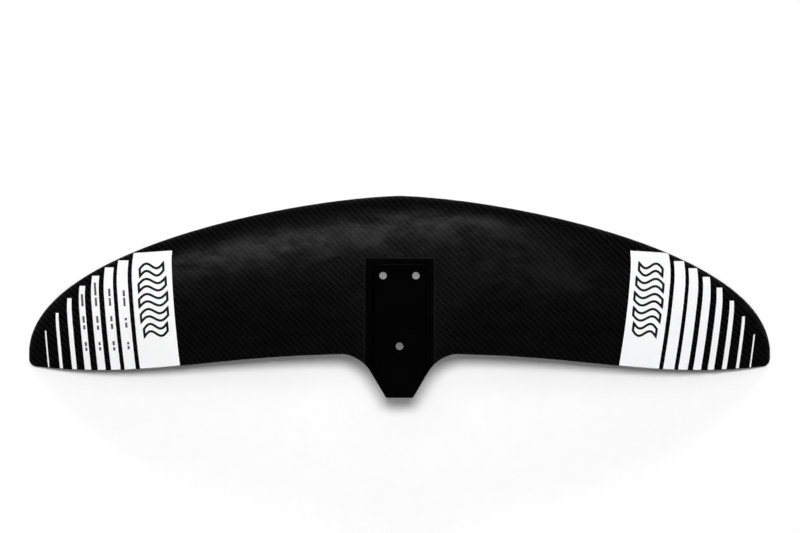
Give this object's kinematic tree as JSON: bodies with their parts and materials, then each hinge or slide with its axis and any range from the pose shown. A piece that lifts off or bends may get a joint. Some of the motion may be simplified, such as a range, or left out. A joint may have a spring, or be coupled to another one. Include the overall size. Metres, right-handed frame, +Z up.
{
  "type": "hydrofoil front wing",
  "caption": "Swept anhedral hydrofoil wing in carbon twill, with a central screw seat and tail tongue for the fuselage and white striped tips.",
  "frame": {"origin": "midway between the two front screw holes, on the floor of the fuselage seat", "axes": "+X to starboard along the span, +Y forward to the leading edge, +Z up out of the fuselage seat"},
  "size_m": [0.86, 0.2347, 0.0965],
  "materials": {
    "carbon_skin": "clear-coated two by two twill carbon, satin",
    "foam_core": "closed-cell foam, cut",
    "spar_web": "dense foam, cut",
    "spar_cap": "unidirectional carbon, bare",
    "block": "moulded black, satin",
    "bush": "turned stainless steel",
    "edge_filler": "fibre-filled resin",
    "tip_block": "fibre-filled resin",
    "white_film": "printed white film, satin"
  },
  "bodies": {
    "root": {"upper_skin": "carbon_skin", "lower_skin": "carbon_skin", "nose_core_port": "foam_core", "nose_core_starboard": "foam_core", "rear_core_port": "foam_core", "rear_core_starboard": "foam_core", "shear_web": "spar_web", "upper_spar_cap": "spar_cap", "lower_spar_cap": "spar_cap", "centre_block": "block", "front_port_bush": "bush", "front_starboard_bush": "bush", "rear_bush": "bush", "leading_edge_filler": "edge_filler", "trailing_edge_filler_port": "edge_filler", "trailing_edge_filler_starboard": "edge_filler", "tip_block_port": "tip_block", "tip_block_starboard": "tip_block", "tip_panel_port": "white_film", "tip_panel_starboard": "white_film", "stripe_1_port": "white_film", "stripe_2_port": "white_film", "stripe_3_port": "white_film", "stripe_4_port": "white_film", "stripe_5_port": "white_film", "stripe_6_port": "white_film", "stripe_7_port": "white_film", "stripe_1_starboard": "white_film", "stripe_2_starboard": "white_film", "stripe_3_starboard": "white_film", "stripe_4_starboard": "white_film", "stripe_5_starboard": "white_film", "stripe_6_starboard": "white_film", "stripe_7_starboard": "white_film"}
  },
  "joints": []
}
